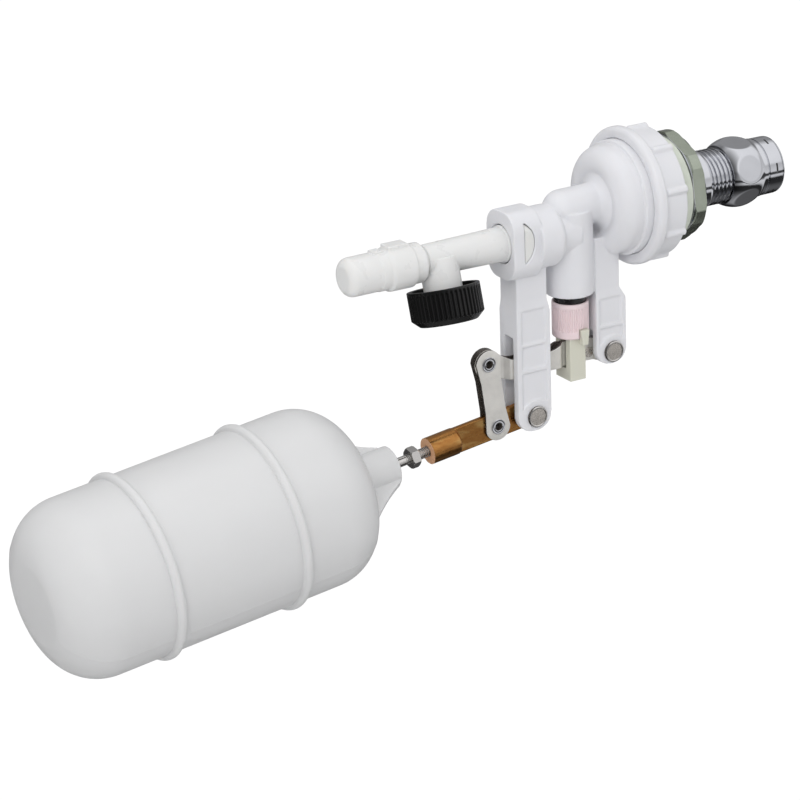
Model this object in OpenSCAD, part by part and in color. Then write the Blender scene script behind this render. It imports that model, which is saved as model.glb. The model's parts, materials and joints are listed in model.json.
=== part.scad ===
// Side-inlet float valve (ball tap) for a water cistern, with a compound lever.
// Millimetres, +Z up. +X runs along the inlet shank towards the outside of the tank.
// The origin is on the inlet axis, on the face that rests against the tank wall.
// The float hangs towards -X. The valve is drawn with the float partly lowered.

/* [Inlet] */
// Outside diameter of the G 1/2 shank thread
shank_d = 20.955; // [20.9:0.005:21]
// Thread pitch
thread_pitch = 1.814; // [1.8:0.001:1.83]
// Bore through the shank
shank_bore = 11; // [10:0.5:12]
// Thickness of the soft flange gasket
gasket_t = 6; // [5.8:0.1:6.2]
// Outside diameter of the flange gasket
gasket_d = 39; // [38:0.5:40]
// Outside diameter of the ribbed union nut
union_d = 50; // [49.8:0.1:50.2]
// Number of grip ribs on the union nut
union_ribs = 9; // [8:1:12]
// Width of the lock nut across its flats
lock_af = 38; // [37.5:0.5:38]
// Width of the coupling nut across its flats
coupling_af = 23.8; // [23.4:0.2:24.2]

/* [Body] */
// Distance from the tank wall to the valve chamber axis
chamber_x = 42; // [41.9:0.1:42.1]
// Outside diameter of the valve chamber
chamber_d = 17.7; // [17.5:0.1:18]
// Bore of the valve chamber
chamber_bore = 12.8; // [12.7:0.1:13]
// Height of the chamber mouth below the inlet axis
chamber_drop = 32.2; // [32:0.1:32.4]
// Outside diameter of the inlet tube
tube_d = 14.8; // [14.6:0.1:15]
// Outside diameter of the domed body flange
dome_d = 42.8; // [42.4:0.1:42.8]

/* [Spout] */
// Depth of the spout axis below the inlet axis
spout_drop = 8.1; // [8.05:0.05:8.15]
// Angle of the hanging branch from vertical, swung to the front
spout_swing = 16.8; // [10:0.2:20]
// Distance from the tank wall to the branch axis
branch_x = 97.9; // [97.7:0.1:98.1]
// Outside diameter of the branch
branch_d = 14.2; // [14:0.1:14.4]
// Outside diameter of the black outlet nut
outlet_nut_d = 26.6; // [26:0.2:27]
// Number of grip flutes on the outlet nut
outlet_flutes = 48; // [40:4:60]

/* [Linkage] */
// Distance from the tank wall to the float arm pivot
arm_pivot_x = 60.9; // [60.8:0.1:61]
// Height of the float arm pivot below the inlet axis
arm_pivot_drop = 74.8; // [74.7:0.1:74.9]
// Distance from the tank wall to the lever pivot
lever_pivot_x = 27.2; // [27.1:0.1:27.3]
// Height of the lever pivot below the inlet axis
lever_pivot_drop = 56.6; // [56.5:0.1:56.7]
// Distance from the arm pivot to the link pivot on the brass arm
arm_crank = 14.6; // [14.5:0.1:14.7]
// Angle of the float arm below horizontal in the drawn pose
arm_angle = 7.6; // [7.2:0.1:8]
// Diameter of the two pivot pins
pin_d = 5; // [4.8:0.1:5.2]
// Thickness of each stamped steel plate
plate_t = 1; // [0.9:0.05:1]
// Radial play of the upper link pivot, which takes up the linkage error
link_play = 0.5; // [0.4:0.05:0.6]

/* [Float] */
// Outside diameter of the float body
float_d = 66.2; // [65.8:0.1:66.6]
// Distance from the arm pivot to the shoulder end of the float
float_near = 74.3; // [73.5:0.1:75]
// Distance from the arm pivot to the domed end of the float
float_far = 205.9; // [204:0.1:212]
// Outside diameter of the float neck
neck_d = 15.2; // [15:0.1:15.4]
// Wall thickness of the float
float_wall = 1.4; // [1.2:0.1:1.8]

/* [Hidden] */
$fn = 96;

play = 0.05;
e = 0.01;
shank_r = shank_d / 2;
bore_r = shank_bore / 2;
flange_x = -gasket_t;
arm_p = [-arm_pivot_x, 0, -arm_pivot_drop];
lever_p = [-lever_pivot_x, 0, -lever_pivot_drop];
link_b = [arm_p[0] - arm_crank * cos(arm_angle), 0, arm_p[2] - arm_crank * sin(arm_angle)];
link_c = [-78.8, 0, -52.1];
link_len = norm(link_c - link_b);
link_lean = atan2(link_c[0] - link_b[0], link_c[2] - link_b[2]);
leg_y = 6;
slot_y = 2.9;
head_r = 4.05;
rivet_r = 2;
bar_r = 5;
tongue_t = 2.1;
seat_z = -8.6;
white = [0.90, 0.90, 0.92];
natural = [0.90, 0.91, 0.89];
steel = [0.72, 0.71, 0.69];
chrome = [0.80, 0.81, 0.83];

valve_body();
union_nut();
inlet_shank();
body_seal();
mounting_gasket();
lock_nut();
coupling_nut();
coupling_washer();
inlet_strainer();
valve_seat();
spout_tube();
spout_oring();
spout_clip();
spout_plug();
plug_seal();
outlet_nut();
outlet_seal();
valve_stem();
stem_cap();
stem_packing();
valve_disc();
lever_plate_front();
lever_plate_back();
lever_rivet();
lever_pin();
link_plate_front();
link_plate_back();
link_rivets();
arm_pin();
brass_arm();
float_rod();
float_lock_nut();
float_shell();

// ---- small helpers -------------------------------------------------------

// cylinder along X from x0 to x1
module x_cyl(x0, x1, r, z = 0) {
  translate([x0, 0, z]) rotate([0, 90, 0]) cylinder(h = x1 - x0, r = r);
}

// cylinder along Y between y0 and y1, centred on p
module y_cyl(p, y0, y1, r) {
  translate([p[0], y1, p[2]]) rotate([90, 0, 0]) cylinder(h = y1 - y0, r = r);
}

// box from corner a to corner b
module span(a, b) {
  translate(a) cube(b - a);
}

// turns a profile drawn as [distance along X, radius] about the X axis
module x_turn(z = 0) {
  translate([0, 0, z]) rotate([0, 90, 0]) rotate_extrude() mirror([1, -1]) children();
}

// round washer along X
module x_ring(x0, x1, r, hole, z = 0) {
  difference() {
    x_cyl(x0, x1, r, z);
    x_cyl(x0 - 1, x1 + 1, hole, z);
  }
}

// moves children to the frame of the float arm: origin at the pivot, +X along the arm
module arm_frame() {
  translate(arm_p) rotate([0, 180 - arm_angle, 0]) mirror([0, 0, 1]) children();
}

// moves children to the frame of the hanging branch: origin on the spout axis, -Z down it
module branch_frame() {
  translate([-branch_x, 0, -spout_drop]) rotate([-spout_swing, 0, 0]) children();
}

// rounded rectangle in the drawing plane
module round_rect(w, h, r) {
  square([w - 2 * r, h], center = true);
  square([w, h - 2 * r], center = true);
  for (i = [-1, 1], j = [-1, 1]) translate([i * (w / 2 - r), j * (h / 2 - r)]) circle(r);
}

// ---- moulded body --------------------------------------------------------

module valve_body() {
  color(white) difference() {
    union() {
      dome();
      inlet_tube();
      x_cyl(-61, -chamber_x, 9.4, -spout_drop);
      translate([-chamber_x, 0, -chamber_drop]) cylinder(h = chamber_drop, r = chamber_d / 2);
      collar();
      left_leg();
      right_leg();
    }
    water_ways();
    collar_cuts();
    leg_cuts();
  }
}

module dome() {
  x_turn() difference() {
    union() {
      translate([-29.5, 0]) square([12.5, 14]);
      translate([-24.5, 14]) circle(6.2);
      translate([-24.5, 0]) square([8, 20.2]);
      translate([-22, 0]) square([6, dome_d / 2]);
      translate([-17.1, 0]) square([2.6, 22.6]);
      translate([-29.5, 0]) square([15, 8]);
    }
    translate([-32, -1]) square([20, 1]);
  }
  // fillet between the dome and the inlet tube
  x_turn() difference() {
    translate([-34, 0]) square([6, tube_d / 2 + 3]);
    translate([-34, tube_d / 2 + 4]) circle(4.2);
  }
  x_cyl(-15, -9.5, 9);
}

module inlet_tube() {
  x_cyl(tube_d / 2 - 52.3, -15, tube_d / 2);
  translate([tube_d / 2 - 52.3, 0, 0]) sphere(tube_d / 2);
}

// squared collar that takes the spout, with its round shoulder
module collar() {
  translate([-71.4, 0, -8.5]) rotate([90, 0, 90]) linear_extrude(11.9) round_rect(18.7, 25.6, 7);
  x_turn(-8.4) {
    translate([-60, 0]) square([8, 11.5]);
    translate([-52.2, 0]) square([3, 8.5]);
    translate([-52.2, 8.5]) circle(3);
  }
}

module leg_plate(x0, x1, z0, z1, half, corner) {
  translate([(x0 + x1) / 2, half, (z0 + z1) / 2]) rotate([90, 0, 0])
    linear_extrude(2 * half) round_rect(x1 - x0, z1 - z0, corner);
}

module left_leg() {
  span([-68.5, -5.5, -40], [-55.5, 5.5, -12]);
  leg_plate(-68.8, -54.6, -80.2, -34.5, leg_y, 6.2);
  span([-68.8, -leg_y, -60], [-54.6, leg_y, -34.5]);
  leg_step(-68.8, -54.6, -34.5, -68.5, -55.5, -30);
}

module right_leg() {
  span([-34.2, -5.5, -40], [-24, 5.5, -12]);
  leg_plate(-34.4, -21.4, -61.2, -36.5, leg_y, 5.8);
  span([-34.4, -leg_y, -50], [-21.4, leg_y, -36.5]);
  leg_step(-34.4, -21.4, -36.5, -34.2, -24, -32);
}

// sloping step between the narrow and the wide part of a leg
module leg_step(x0, x1, z0, u0, u1, z1) {
  intersection() {
    rotate([90, 0, 0]) translate([0, 0, -leg_y]) linear_extrude(2 * leg_y)
      polygon([[x0, z0], [x1, z0], [u1, z1], [u0, z1]]);
    rotate([90, 0, 90]) translate([0, 0, x0]) linear_extrude(x1 - x0)
      polygon([[-leg_y, z0], [leg_y, z0], [5.5, z1], [-5.5, z1]]);
  }
}

module water_ways() {
  x_cyl(-44.6, 0, 4.2);
  translate([-chamber_x, 0, -chamber_drop - 1]) cylinder(h = chamber_drop - 4.5, r = chamber_bore / 2);
  translate([-chamber_x, 0, -7]) cylinder(h = 8, r = 2.6);
  translate([-chamber_x, 0, -5.6]) cylinder(h = 1, r = 4);
  x_cyl(-58, -chamber_x, 3.8, -9.2);
}

module collar_cuts() {
  // socket for the spout and the slot for its clip
  x_cyl(-72, -55.5, 7, -spout_drop);
  translate([-69.4, 0, -8.5]) rotate([0, 90, 0]) x_socket_mouth();
  intersection() {
    span([-66.8, -10, -14.6], [-62, 7.6, 1.2]);
    y_cyl([-71.7, 0, -6.7], -11, 8, 9.3);
  }
}

// shallow lead-in around the socket mouth
module x_socket_mouth() {
  translate([-0.4, 0, -2.1]) cylinder(h = 1.2, r = 7.4);
}

module leg_cuts() {
  // slots that make the forks
  span([-70, -slot_y, -90], [-54, slot_y, -44]);
  span([-36, -slot_y, -70], [-20, slot_y, -48]);
  y_cyl(arm_p, -10, 10, pin_d / 2);
  y_cyl(lever_p, -10, 10, pin_d / 2);
  // recessed panels on the front and back faces
  for (s = [-1, 1]) {
    panel([-66.9, -56.6], [-46, -33.6], s);
    panel([-66.9, -56.6], [-55.7, -47.2], s);
    panel([-33, -23.6], [-45.6, -35.6], s);
    difference() {
      panel([-66.9, -56.2], [-72, -57.3], s);
      y_cyl(arm_p, -8, 8, 6.7);
    }
    difference() {
      panel([-33.1, -22.8], [-54, -46.9], s);
      y_cyl(lever_p, -8, 8, 6.4);
    }
  }
}

// shallow pocket in the front (s = -1) or back (s = 1) face of a leg
module panel(x, z, s) {
  y0 = s < 0 ? -leg_y - 1 : leg_y - 0.6;
  span([x[0], y0, z[0]], [x[1], y0 + 1.6, z[1]]);
}

// ---- inlet pieces --------------------------------------------------------

module union_nut() {
  r = union_d / 2;
  color(white) difference() {
    union() {
      x_turn() {
        translate([-18, 0]) square([12, r - 1]);
        translate([-17.5, 0]) square([2.6, r + 0.7]);
        translate([-19.2, 0]) square([3, r - 1]);
        translate([-17.5, r - 1]) circle(1.7);
      }
      for (i = [0 : union_ribs - 1]) rotate([i * 360 / union_ribs - 15.4, 0, 0])
        span([-15, -r - 0.4, -1.2], [-6.4, 3 - r, 1.2]);
    }
    x_cyl(-20, 0, 21.5);
    x_cyl(-17.2, 0, 22.9);
  }
}

module inlet_shank() {
  color(chrome) difference() {
    union() {
      x_cyl(-14.3, flange_x, 22.85);
      x_cyl(-7, 14.2, shank_r);
      x_cyl(14, 33, shank_r - 1.15);
      thread_rings(14.43, 32.6);
    }
    x_cyl(-15, 34, bore_r);
    x_cyl(-15, -9.3, 9.1);
    x_ring(-15, -12.6, 16, 11);
  }
}

// thread crests as parallel rings on the shank
module thread_rings(x0, x1) {
  n = floor((x1 - x0) / thread_pitch);
  x_turn() for (i = [0 : n - 1])
    translate([x0 + (i + 0.5) * thread_pitch, 0]) polygon([
      [-0.8, shank_r - 1.2], [-0.25, shank_r], [0.25, shank_r], [0.8, shank_r - 1.2],
      [0.8, shank_r - 2], [-0.8, shank_r - 2]]);
}

module body_seal() {
  color([0.15, 0.15, 0.15]) x_ring(-14.5, -12.6, 15.9, 11.1);
}

module mounting_gasket() {
  color([0.80, 0.85, 0.76]) difference() {
    x_turn() {
      translate([flange_x, 0]) square([gasket_t, gasket_d / 2 - 0.8]);
      translate([flange_x, 0]) square([gasket_t - 0.8, gasket_d / 2]);
      translate([-0.8, gasket_d / 2 - 0.8]) circle(0.8);
    }
    x_cyl(-7, 1, shank_r + 0.02);
  }
}

module lock_nut() {
  color(chrome) difference() {
    union() {
      intersection() {
        translate([0.05, 0, 0]) rotate([-9, 0, 0]) rotate([0, 90, 0])
          cylinder(h = 5.4, d = lock_af / cos(30), $fn = 6);
        x_turn() polygon([[0, 0], [6, 0], [6, 19], [4.8, 20.6], [0.8, 20.6], [0, 19.4]]);
      }
      x_turn() polygon([[5, 0], [6.4, 0], [6.4, 18], [5.4, 18.8], [5, 18.8]]);
      x_turn() polygon([[5, 0], [14.5, 0], [14.5, 10.9], [13, 11.7], [5, 11.7]]);
    }
    x_cyl(-1, 20, shank_r + play);
  }
}

module coupling_nut() {
  color(chrome) difference() {
    union() {
      intersection() {
        x_turn() intersection() {
          translate([30.6, 0.8]) circle(12.3);
          translate([23.8, 0]) square([14.6, 20]);
        }
        rotate([-20, 0, 0]) rotate([0, 90, 0])
          cylinder(h = 50, d = coupling_af / cos(30), $fn = 6);
      }
      x_turn() {
        translate([24.2, 0]) square([13.5, 10.8]);
        polygon([[37, 0], [38.4, 10.9], [39.2, 10.9], [39.8, 10.4], [39.8, 0]]);
        translate([39.4, 0]) square([6.9, 10.75]);
        translate([45, 0]) square([1.8, 10.2]);
      }
      x_turn() translate([46.2, 10.15]) circle(0.6);
    }
    x_cyl(20, 33.2, shank_r + 0.1);
    x_cyl(33, 35.6, 9.5);
    x_cyl(35, 50, 7);
    x_cyl(38.5, 50, 8.8);
  }
}

module coupling_washer() {
  color([0.13, 0.13, 0.13]) x_ring(33.05, 35.5, 9.4, 5.6);
}

module inlet_strainer() {
  color([0.85, 0.88, 0.86]) difference() {
    union() {
      x_ring(26, 31.5, bore_r - 0.05, 4.4);
      x_cyl(26, 27, 5);
    }
    for (i = [-1, 0, 1], j = [-1, 0, 1]) translate([0, i * 2.4, j * 2.4]) x_cyl(25, 28, 0.8);
  }
}

module valve_seat() {
  color([0.80, 0.68, 0.35]) translate([-chamber_x, 0, 0]) difference() {
    union() {
      translate([0, 0, -5.5]) cylinder(h = 0.9, r = 4);
      translate([0, 0, seat_z]) cylinder(h = 3.2, r = 3.6);
    }
    translate([0, 0, seat_z - 1]) cylinder(h = 6, r = 2.3);
  }
}

// ---- spout ---------------------------------------------------------------

module spout_tube() {
  color(natural) difference() {
    union() {
      translate([0, 0, -spout_drop]) rotate([0, 90, 0]) {
        translate([0, 0, -104.2]) cylinder(h = 32.8, r1 = 5.9, r2 = 6.4);
        translate([0, 0, -71.6]) cylinder(h = 15, r = 6.9);
        translate([0, 0, -110]) cylinder(h = 7, r = 5);
      }
      branch_frame() {
        translate([0, 0, -19.5]) cylinder(h = 19.5, r = branch_d / 2);
        translate([0, 0, -19.5]) cylinder(h = 3, r = 8.4);
      }
    }
    x_cyl(-103, -50, 4, -spout_drop);
    x_cyl(-112, -102, 3.2, -spout_drop);
    branch_frame() translate([0, 0, -21]) cylinder(h = 21, r = 4.6);
    // grooves for the clip and the ring
    x_ring(-66.6, -63.4, 8, 5.9, -spout_drop);
    x_ring(-60.2, -57.8, 8, 5.5, -spout_drop);
  }
}

module spout_oring() {
  color([0.15, 0.15, 0.15]) x_turn(-spout_drop) translate([-59, 6.22]) circle(0.72);
}

// C-shaped clip pushed in through the front of the collar
module spout_clip() {
  color([0.88, 0.87, 0.78]) difference() {
    intersection() {
      span([-66.55, -9.1, -14.5], [-62, 7.5, 1.1]);
      x_cyl(-67, -62, 11, -spout_drop);
      y_cyl([-71.7, 0, -6.7], -10, 8, 9.05);
    }
    // the tongue sits in the spout's groove, the bulge stays outside the spout
    x_cyl(-67, -63.45, 5.97, -spout_drop);
    x_cyl(-63.5, -61, 7.1, -spout_drop);
    span([-67, 0, -spout_drop - 5.97], [-63.45, 9, 5.97 - spout_drop]);
    span([-63.5, 0, -spout_drop - 7.1], [-61, 9, 7.1 - spout_drop]);
  }
}

module spout_plug() {
  color(natural) difference() {
    union() {
      x_turn(-spout_drop) {
        translate([-134, 0]) square([12, 7.2]);
        translate([-137.3, 0]) square([4, 3.9]);
        translate([-134, 3.9]) circle(3.3);
        translate([-124, 0]) square([18, 7.4]);
        translate([-119.5, 0]) square([9, 8.2]);
        polygon([[-121, 0], [-121, 7.2], [-119.5, 8.2], [-111.2, 8.2], [-109.2, 6.7], [-107.4, 6.7],
          [-106.7, 6], [-106.7, 0]]);
      }
      // locking lug and its small stop on top of the collar
      translate([0, 0, -spout_drop]) {
        span([-119.8, -2.8, 6], [-111.6, 2.8, 9]);
        span([-125.6, -2, 5], [-122, 2, 8]);
      }
    }
    x_cyl(-112, -100, 5.05, -spout_drop);
    x_cyl(-132, -111, 4.4, -spout_drop);
  }
}

module plug_seal() {
  color([0.15, 0.15, 0.15]) x_ring(-112, -110.1, 5, 3.3, -spout_drop);
}

module outlet_nut() {
  r = outlet_nut_d / 2;
  flute = 360 / outlet_flutes;
  color([0.08, 0.08, 0.08]) branch_frame() rotate([0, 0, flute / 4]) {
    // open top, collar above the branch flange, seal pocket and outlet hole
    rotate_extrude() polygon([
      [6.2, -23.6], [10.4, -23.6], [r - 0.5, -20.9], [r - 0.5, -11.4], [r, -11.4], [r, -10.5],
      [r - 1.6, -10.5], [r - 1.6, -14.4], [7.5, -14.4], [7.5, -16], [8.75, -16],
      [8.75, -22.2], [6.2, -22.2]
    ]);
    for (i = [0 : outlet_flutes - 1]) rotate([0, 0, i * flute])
      span([r - 1.2, -0.42, -21], [r - 0.03, 0.42, -11]);
  }
}

module outlet_seal() {
  color([0.2, 0.2, 0.2]) branch_frame() difference() {
    translate([0, 0, -21.9]) cylinder(h = 2.4, r = 8.3);
    translate([0, 0, -23]) cylinder(h = 6, r = 4.7);
  }
}

// ---- valve stem ----------------------------------------------------------

module valve_stem() {
  color([0.86, 0.88, 0.78]) difference() {
    union() {
      span([-45.4, -4.9, -65.1], [-38.7, 4.9, -48.9]);
      translate([-chamber_x, 0, -49]) cylinder(h = 35.2, r = 3.2);
      translate([-chamber_x, 0, -16.8]) cylinder(h = 3, r = 5.2);
      stem_tab();
    }
    // slot for the lever
    span([-50, -1.9, -60.7], [-30, 1.9, -49.7]);
  }
}

// tapered tongue that laps the notch of the cap
module stem_tab() {
  intersection() {
    rotate([90, 0, 0]) linear_extrude(7.6)
      polygon([[-42.2, -45.2], [-38.6, -45.2], [-39.2, -51], [-41.4, -51]]);
    difference() {
      span([-46, -7.6, -52], [-38, -4, -45]);
      translate([-chamber_x, 0, -49]) cylinder(h = 8, r = 5.9);
    }
  }
}

module stem_cap() {
  color([0.93, 0.80, 0.83]) translate([-chamber_x, 0, 0]) difference() {
    union() {
      translate([0, 0, -46]) cylinder(h = 10.8, r = 6.5);
      translate([0, 0, -36.9]) cylinder(h = 1.7, r = 6.85);
      translate([0, 0, -48]) cylinder(h = 2.4, r = 6.85);
      translate([0, 0, -48.9]) cylinder(h = 1, r1 = 6, r2 = 6.85);
      for (i = [0 : 47]) rotate([0, 0, i * 7.5]) span([6, -0.24, -46], [6.8, 0.24, -36.5]);
    }
    translate([0, 0, -38]) cylinder(h = 5, r = 5.95);
    translate([0, 0, -50]) cylinder(h = 15, r = 3.2);
    translate([chamber_x, 0, 0]) span([-42.6, -8, -50], [-38.2, -5.8, -45]);
  }
}

module stem_packing() {
  color([0.07, 0.07, 0.07]) translate([-chamber_x, 0, 0]) difference() {
    union() {
      translate([0, 0, -38]) cylinder(h = 9, r = 5.85);
      translate([0, 0, -29.5]) cylinder(h = 2.5, r1 = 5.85, r2 = 6.35);
      translate([0, 0, -27.2]) cylinder(h = 0.8, r = 6.35);
    }
    translate([0, 0, -40]) cylinder(h = 20, r = 3.2);
    translate([0, 0, -28.2]) cylinder(h = 4, r1 = 3.4, r2 = 5.6);
  }
}

module valve_disc() {
  color([0.12, 0.12, 0.12]) translate([-chamber_x, 0, 0]) {
    translate([0, 0, -13.8]) cylinder(h = 3, r = 5);
    translate([0, 0, -10.9]) cylinder(h = 1.2, r = 4.6);
  }
}

// ---- lever ---------------------------------------------------------------

// side shape of the lever in X and Z, from y = -4 to the mid plane
module lever_side() {
  rotate([90, 0, 0]) linear_extrude(4)
    polygon([[-76.4, -48.2], [-72.6, -50.5], [-69, -52.1], [-52, -52.4], [-49.4, -51.7],
      [-46.6, -50.5], [-38, -50.5], [-34.5, -51.3], [-30, -52.2], [-27.2, -52.6], [-27.2, -60.6],
      [-33, -59.9], [-70, -59.7], [-73.5, -58.9], [-77.4, -56.2], [-80, -52]]);
  y_cyl(link_c, -4, 0, 5.3);
  y_cyl(lever_p, -4, 0, 4.4);
}

// plan outline of the front plate, joggled inwards at the stem and at the link
module lever_plan(t) {
  polygon([[-90, -0.02], [-72, -0.02], [-69.4, -1.6], [-48.6, -1.6], [-46.2, -0.02], [-33.2, -0.02],
    [-31, -1.6], [-20, -1.6], [-20, -1.6 - t], [-31.4, -1.6 - t], [-33.6, -0.02 - t],
    [-45.8, -0.02 - t], [-48.2, -1.6 - t], [-69.8, -1.6 - t], [-72.4, -0.02 - t], [-90, -0.02 - t]]);
}

module lever_plate_front() {
  color(steel) difference() {
    intersection() {
      lever_side();
      translate([0, 0, -70]) linear_extrude(30) lever_plan(plate_t);
    }
    y_cyl(lever_p, -10, 10, pin_d / 2 + play);
    y_cyl(link_c, -10, 10, rivet_r + link_play);
    y_cyl([-34.9, 0, -56.8], -10, 10, 1.2);
  }
}

module lever_plate_back() {
  mirror([0, 1, 0]) lever_plate_front();
}

module lever_rivet() {
  p = [-34.9, 0, -56.8];
  color(steel) {
    y_cyl(p, -1.1, 1.1, 1.2);
    y_cyl(p, -1.5, -1.02, 1.9);
    y_cyl(p, 1.02, 1.5, 1.9);
  }
}

module pivot_pin(p) {
  color(steel) {
    y_cyl(p, -leg_y - 0.9, -leg_y, head_r);
    y_cyl(p, -leg_y - 0.5, leg_y + 0.8, pin_d / 2);
  }
}

module lever_pin() {
  pivot_pin(lever_p);
}

module arm_pin() {
  pivot_pin(arm_p);
}

// ---- links ---------------------------------------------------------------

// waisted link plate in front of the mid plane, from the lower eye to the upper eye
module link_plate_front() {
  y0 = -1.15 - plate_t;
  color(steel) difference() {
    union() {
      y_cyl(link_b, y0, -1.15, 5.3);
      y_cyl(link_c, y0, -1.15, 5.3);
      translate(link_b) rotate([0, link_lean, 0]) rotate([90, 0, 0])
        translate([0, 0, 1.15]) linear_extrude(plate_t)
          polygon([[-4.7, 1.6], [-4.3, 8], [-4.3, link_len - 8], [-4.7, link_len - 1.6],
            [4.7, link_len - 1.6], [4.3, link_len - 8], [4.3, 8], [4.7, 1.6]]);
    }
    y_cyl(link_b, -5, 5, rivet_r);
    y_cyl(link_c, -5, 5, rivet_r);
  }
}

module link_plate_back() {
  mirror([0, 1, 0]) link_plate_front();
}

// hollow rivets of the lower and upper link pivots
module link_rivets() {
  color(steel) for (p = [link_b, link_c]) difference() {
    union() {
      y_cyl(p, -2.3, 2.3, rivet_r);
      y_cyl(p, -2.55, -2.15, 2.75);
      y_cyl(p, 2.15, 2.55, 2.75);
    }
    y_cyl(p, -5, 5, 1.35);
  }
}

// ---- float arm -----------------------------------------------------------

module brass_arm() {
  color([0.72, 0.55, 0.26]) arm_frame() difference() {
    union() {
      intersection() {
        x_cyl(0, 43.8, bar_r);
        union() {
          span([-6, -tongue_t / 2, -6], [34, tongue_t / 2, 6]);
          // round boss with a turned shoulder
          x_turn() polygon([[30.6, 0], [30.6, 1.2], [30.9, 2.9], [31.4, 4.1], [32.1, 4.8],
            [33.2, 5.4], [44, 5.4], [44, 0]]);
        }
      }
      y_cyl([0, 0, 0], -2.8, 2.8, 4.8);
    }
    y_cyl([0, 0, 0], -6, 6, pin_d / 2 + play);
    y_cyl([arm_crank, 0, 0], -6, 6, rivet_r + play);
    x_cyl(33, 45, 2);
  }
}

module float_rod() {
  color(steel) arm_frame() {
    x_cyl(33.5, 53, 1.99);
    x_cyl(52.5, 76, 1.85);
  }
}

module float_lock_nut() {
  color(steel) arm_frame() difference() {
    intersection() {
      translate([48.8, 0, 0]) rotate([20, 0, 0]) rotate([0, 90, 0])
        cylinder(h = 3.2, d = 7 / cos(30), $fn = 6);
      x_turn() polygon([[48.8, 0], [52, 0], [52, 3.6], [51.5, 4.1], [49.3, 4.1], [48.8, 3.6]]);
    }
    x_cyl(48, 53, 1.99);
  }
}

// half section of the float, inset by w: domed ends joined by round shoulders
module float_profile(w) {
  r = float_d / 2;
  x0 = float_near;
  x1 = float_far;
  near_r = 18.6;
  far_r = 20;
  intersection() {
    union() {
      translate([x0 + 21.3, r - near_r]) circle(near_r - w);
      translate([x1 - 20.1, r - far_r]) circle(far_r - w);
      translate([x0 + 21.3, 0]) square([x1 - x0 - 41.4, r - w]);
      intersection() {
        translate([x0 + 40.2, 0]) circle(40.2 - w);
        square([x0 + 22, 23.5]);
      }
      intersection() {
        translate([x1 - 79.3, 0]) circle(79.3 - w);
        translate([x1 - 21, 0]) square([30, 20.5]);
      }
    }
    square([400, 60]);
  }
}

module float_shell() {
  r = float_d / 2;
  color(white) arm_frame() difference() {
    union() {
      x_turn() {
        float_profile(0);
        translate([59.3, 0]) square([22, neck_d / 2]);
        for (x = [114.8, 165.9]) translate([x, r + 0.1]) circle(1.8);
      }
      // webs between the neck and the shoulder, in the plane of the mould line
      rotate([32, 0, 0]) translate([0, 0, -1.3]) linear_extrude(2.6)
        polygon([[60.2, 7], [61, 9], [73, 14.6], [80, 20], [80, -20], [73, -14.6], [61, -9], [60.2, -7]]);
    }
    x_turn() float_profile(float_wall);
    x_cyl(59, 76, 1.86);
  }
}
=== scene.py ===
"""Looks for the side-inlet float valve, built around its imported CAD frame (metres, +Z up)."""

import json
import math

import bmesh
import bpy
from mathutils import Matrix, Vector


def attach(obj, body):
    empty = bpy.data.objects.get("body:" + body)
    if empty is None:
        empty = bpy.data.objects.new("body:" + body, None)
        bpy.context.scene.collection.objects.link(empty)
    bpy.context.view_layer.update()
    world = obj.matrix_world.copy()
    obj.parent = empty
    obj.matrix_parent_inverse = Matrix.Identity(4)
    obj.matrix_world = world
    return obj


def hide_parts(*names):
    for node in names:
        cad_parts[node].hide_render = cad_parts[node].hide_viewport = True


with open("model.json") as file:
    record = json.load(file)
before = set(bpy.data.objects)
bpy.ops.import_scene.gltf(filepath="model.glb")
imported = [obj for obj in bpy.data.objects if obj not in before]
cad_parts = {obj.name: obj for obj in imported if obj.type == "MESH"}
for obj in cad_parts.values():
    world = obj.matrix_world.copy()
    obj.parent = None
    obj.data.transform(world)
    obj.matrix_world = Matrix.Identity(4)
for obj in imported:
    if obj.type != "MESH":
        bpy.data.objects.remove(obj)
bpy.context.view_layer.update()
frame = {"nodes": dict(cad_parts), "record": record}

MM = 0.001
RECORD = frame["record"]
BODY_OF = {n: b for b, names in RECORD["behaviour"]["bodies"].items() for n in names}
SLOT_OF = {row["node"]: row["material_slot"] for row in RECORD["subparts"]}

# ---------------------------------------------------------------- axes of the part
# In millimetres, as in the CAD. The pieces are scaled to metres when they are published.

ARM_DROP = math.radians(7.6)
ARM_PIVOT = Vector((-60.9, 0, -74.8))
ARM_AXIS = Vector((-math.cos(ARM_DROP), 0, -math.sin(ARM_DROP)))
CRANK = 14.6
LINK_LOW = ARM_PIVOT + ARM_AXIS * CRANK
LINK_HIGH = Vector((-78.8, 0, -52.1))
LEVER_PIVOT = Vector((-27.2, 0, -56.6))
LEVER_RIVET = Vector((-34.9, 0, -56.8))
SPOUT_Z = -8.1
BRANCH_X = -97.9
BRANCH_SWING = math.radians(16.8)
CHAMBER_X = -42


# ---------------------------------------------------------------- shader helpers


def map_range(tree, value, low, high, to_low, to_high):
    """Adds a node that maps value from low..high to to_low..to_high, clamped."""
    node = tree.nodes.new("ShaderNodeMapRange")
    limits = {"From Min": low, "From Max": high, "To Min": to_low, "To Max": to_high}
    for key, number in limits.items():
        node.inputs[key].default_value = number
    tree.links.new(value, node.inputs["Value"])
    return node.outputs["Result"]


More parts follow.
